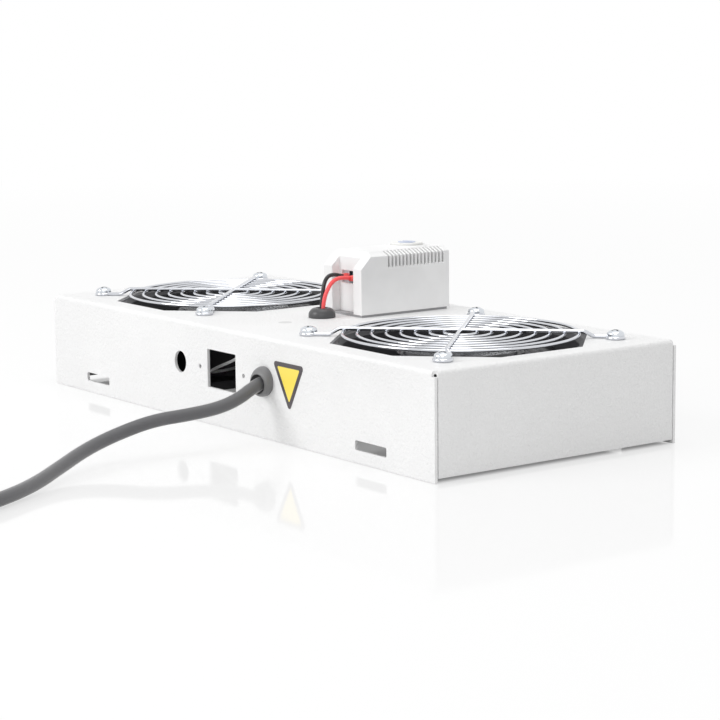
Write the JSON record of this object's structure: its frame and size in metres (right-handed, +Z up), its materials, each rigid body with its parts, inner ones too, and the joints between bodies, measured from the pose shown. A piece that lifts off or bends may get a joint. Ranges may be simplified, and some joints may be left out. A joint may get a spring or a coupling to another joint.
{
  "type": "rack fan tray",
  "caption": "Powder-coated sheet-steel tray with axial fans under chromed finger guards, a thermostat with a setting dial, and a mains lead.",
  "frame": {"origin": "centre of the tray's footprint on the surface that it stands on", "axes": "+X along the tray's length, +Y from the wall with the mains lead to the opposite wall, +Z up from the shelf to the fans' guards"},
  "size_m": [0.345, 0.4288, 0.0854],
  "materials": {
    "powder_coat": "fine structured pale grey powder coat",
    "fan_black": "satin black enamel",
    "copper_windings": "lacquered copper",
    "bearing_steel": "ground steel",
    "chrome_wire": "bright plating",
    "nickel_screw": "bright nickel",
    "zinc_plated_steel": "bright zinc",
    "grey_plastic": "light grey, fine moulded texture",
    "black_plastic": "moulded",
    "off_white_plastic": "smooth moulded",
    "blue_grey_plastic": "smooth moulded",
    "plug_plastic": "moulded, half gloss",
    "brass": "turned",
    "bush_rubber": "smooth moulded rubber",
    "cord_sheath": "smooth extruded sheath",
    "red_insulation": "extruded",
    "black_insulation": "extruded",
    "grey_insulation": "extruded",
    "brown_insulation": "extruded",
    "blue_insulation": "extruded",
    "green_insulation": "extruded"
  },
  "bodies": {
    "root": {"tray_shell": "powder_coat", "thermostat_base": "black_plastic", "thermostat_housing": "grey_plastic", "thermostat_clamps": "brass", "thermostat_switch": "black_plastic", "bimetal_strip": "zinc_plated_steel", "thermostat_base_screws": "zinc_plated_steel", "lead_bush": "bush_rubber", "cord_bush": "bush_rubber", "mains_cord": "cord_sheath", "cord_coil": "cord_sheath", "mains_cord_end": "cord_sheath", "cord_sheath_end": "cord_sheath", "plug_body": "plug_plastic", "plug_contacts": "brass", "terminal_block": "off_white_plastic", "earth_stud": "powder_coat", "earth_nut": "zinc_plated_steel", "earth_tag": "zinc_plated_steel", "block_screws": "brass", "core_live": "brown_insulation", "core_neutral": "blue_insulation", "core_earth": "green_insulation", "lead_red": "red_insulation", "lead_black": "black_insulation", "lead_ferrules": "red_insulation", "fan_lead_left": "grey_insulation", "fan_lead_right": "grey_insulation", "fan_frame_left": "fan_black", "fan_stator_left": "copper_windings", "fan_bearings_left": "bearing_steel", "finger_guard_left": "chrome_wire", "fan_screws_left": "nickel_screw", "fan_nuts_left": "zinc_plated_steel", "fan_frame_right": "fan_black", "fan_stator_right": "copper_windings", "fan_bearings_right": "bearing_steel", "finger_guard_right": "chrome_wire", "fan_screws_right": "nickel_screw", "fan_nuts_right": "zinc_plated_steel"},
    "left_rotor": {"impeller_left": "fan_black", "rotor_shaft_left": "bearing_steel"},
    "right_rotor": {"impeller_right": "fan_black", "rotor_shaft_right": "bearing_steel"},
    "dial": {"thermostat_dial": "off_white_plastic", "dial_cap": "blue_grey_plastic"}
  },
  "joints": [
    {"name": "left_fan_spin", "type": "hinge", "parent": "root", "child": "left_rotor", "pos_m": [-0.1, 0, 0.03], "axis": [0, 0, 1], "continuous": true},
    {"name": "right_fan_spin", "type": "hinge", "parent": "root", "child": "right_rotor", "pos_m": [0.1, 0, 0.03], "axis": [0, 0, 1], "continuous": true},
    {"name": "thermostat_dial_turn", "type": "hinge", "parent": "root", "child": "dial", "pos_m": [0, 0.0442, 0.083], "axis": [0, 0, 1], "range_deg": [-140, 140]}
  ]
}
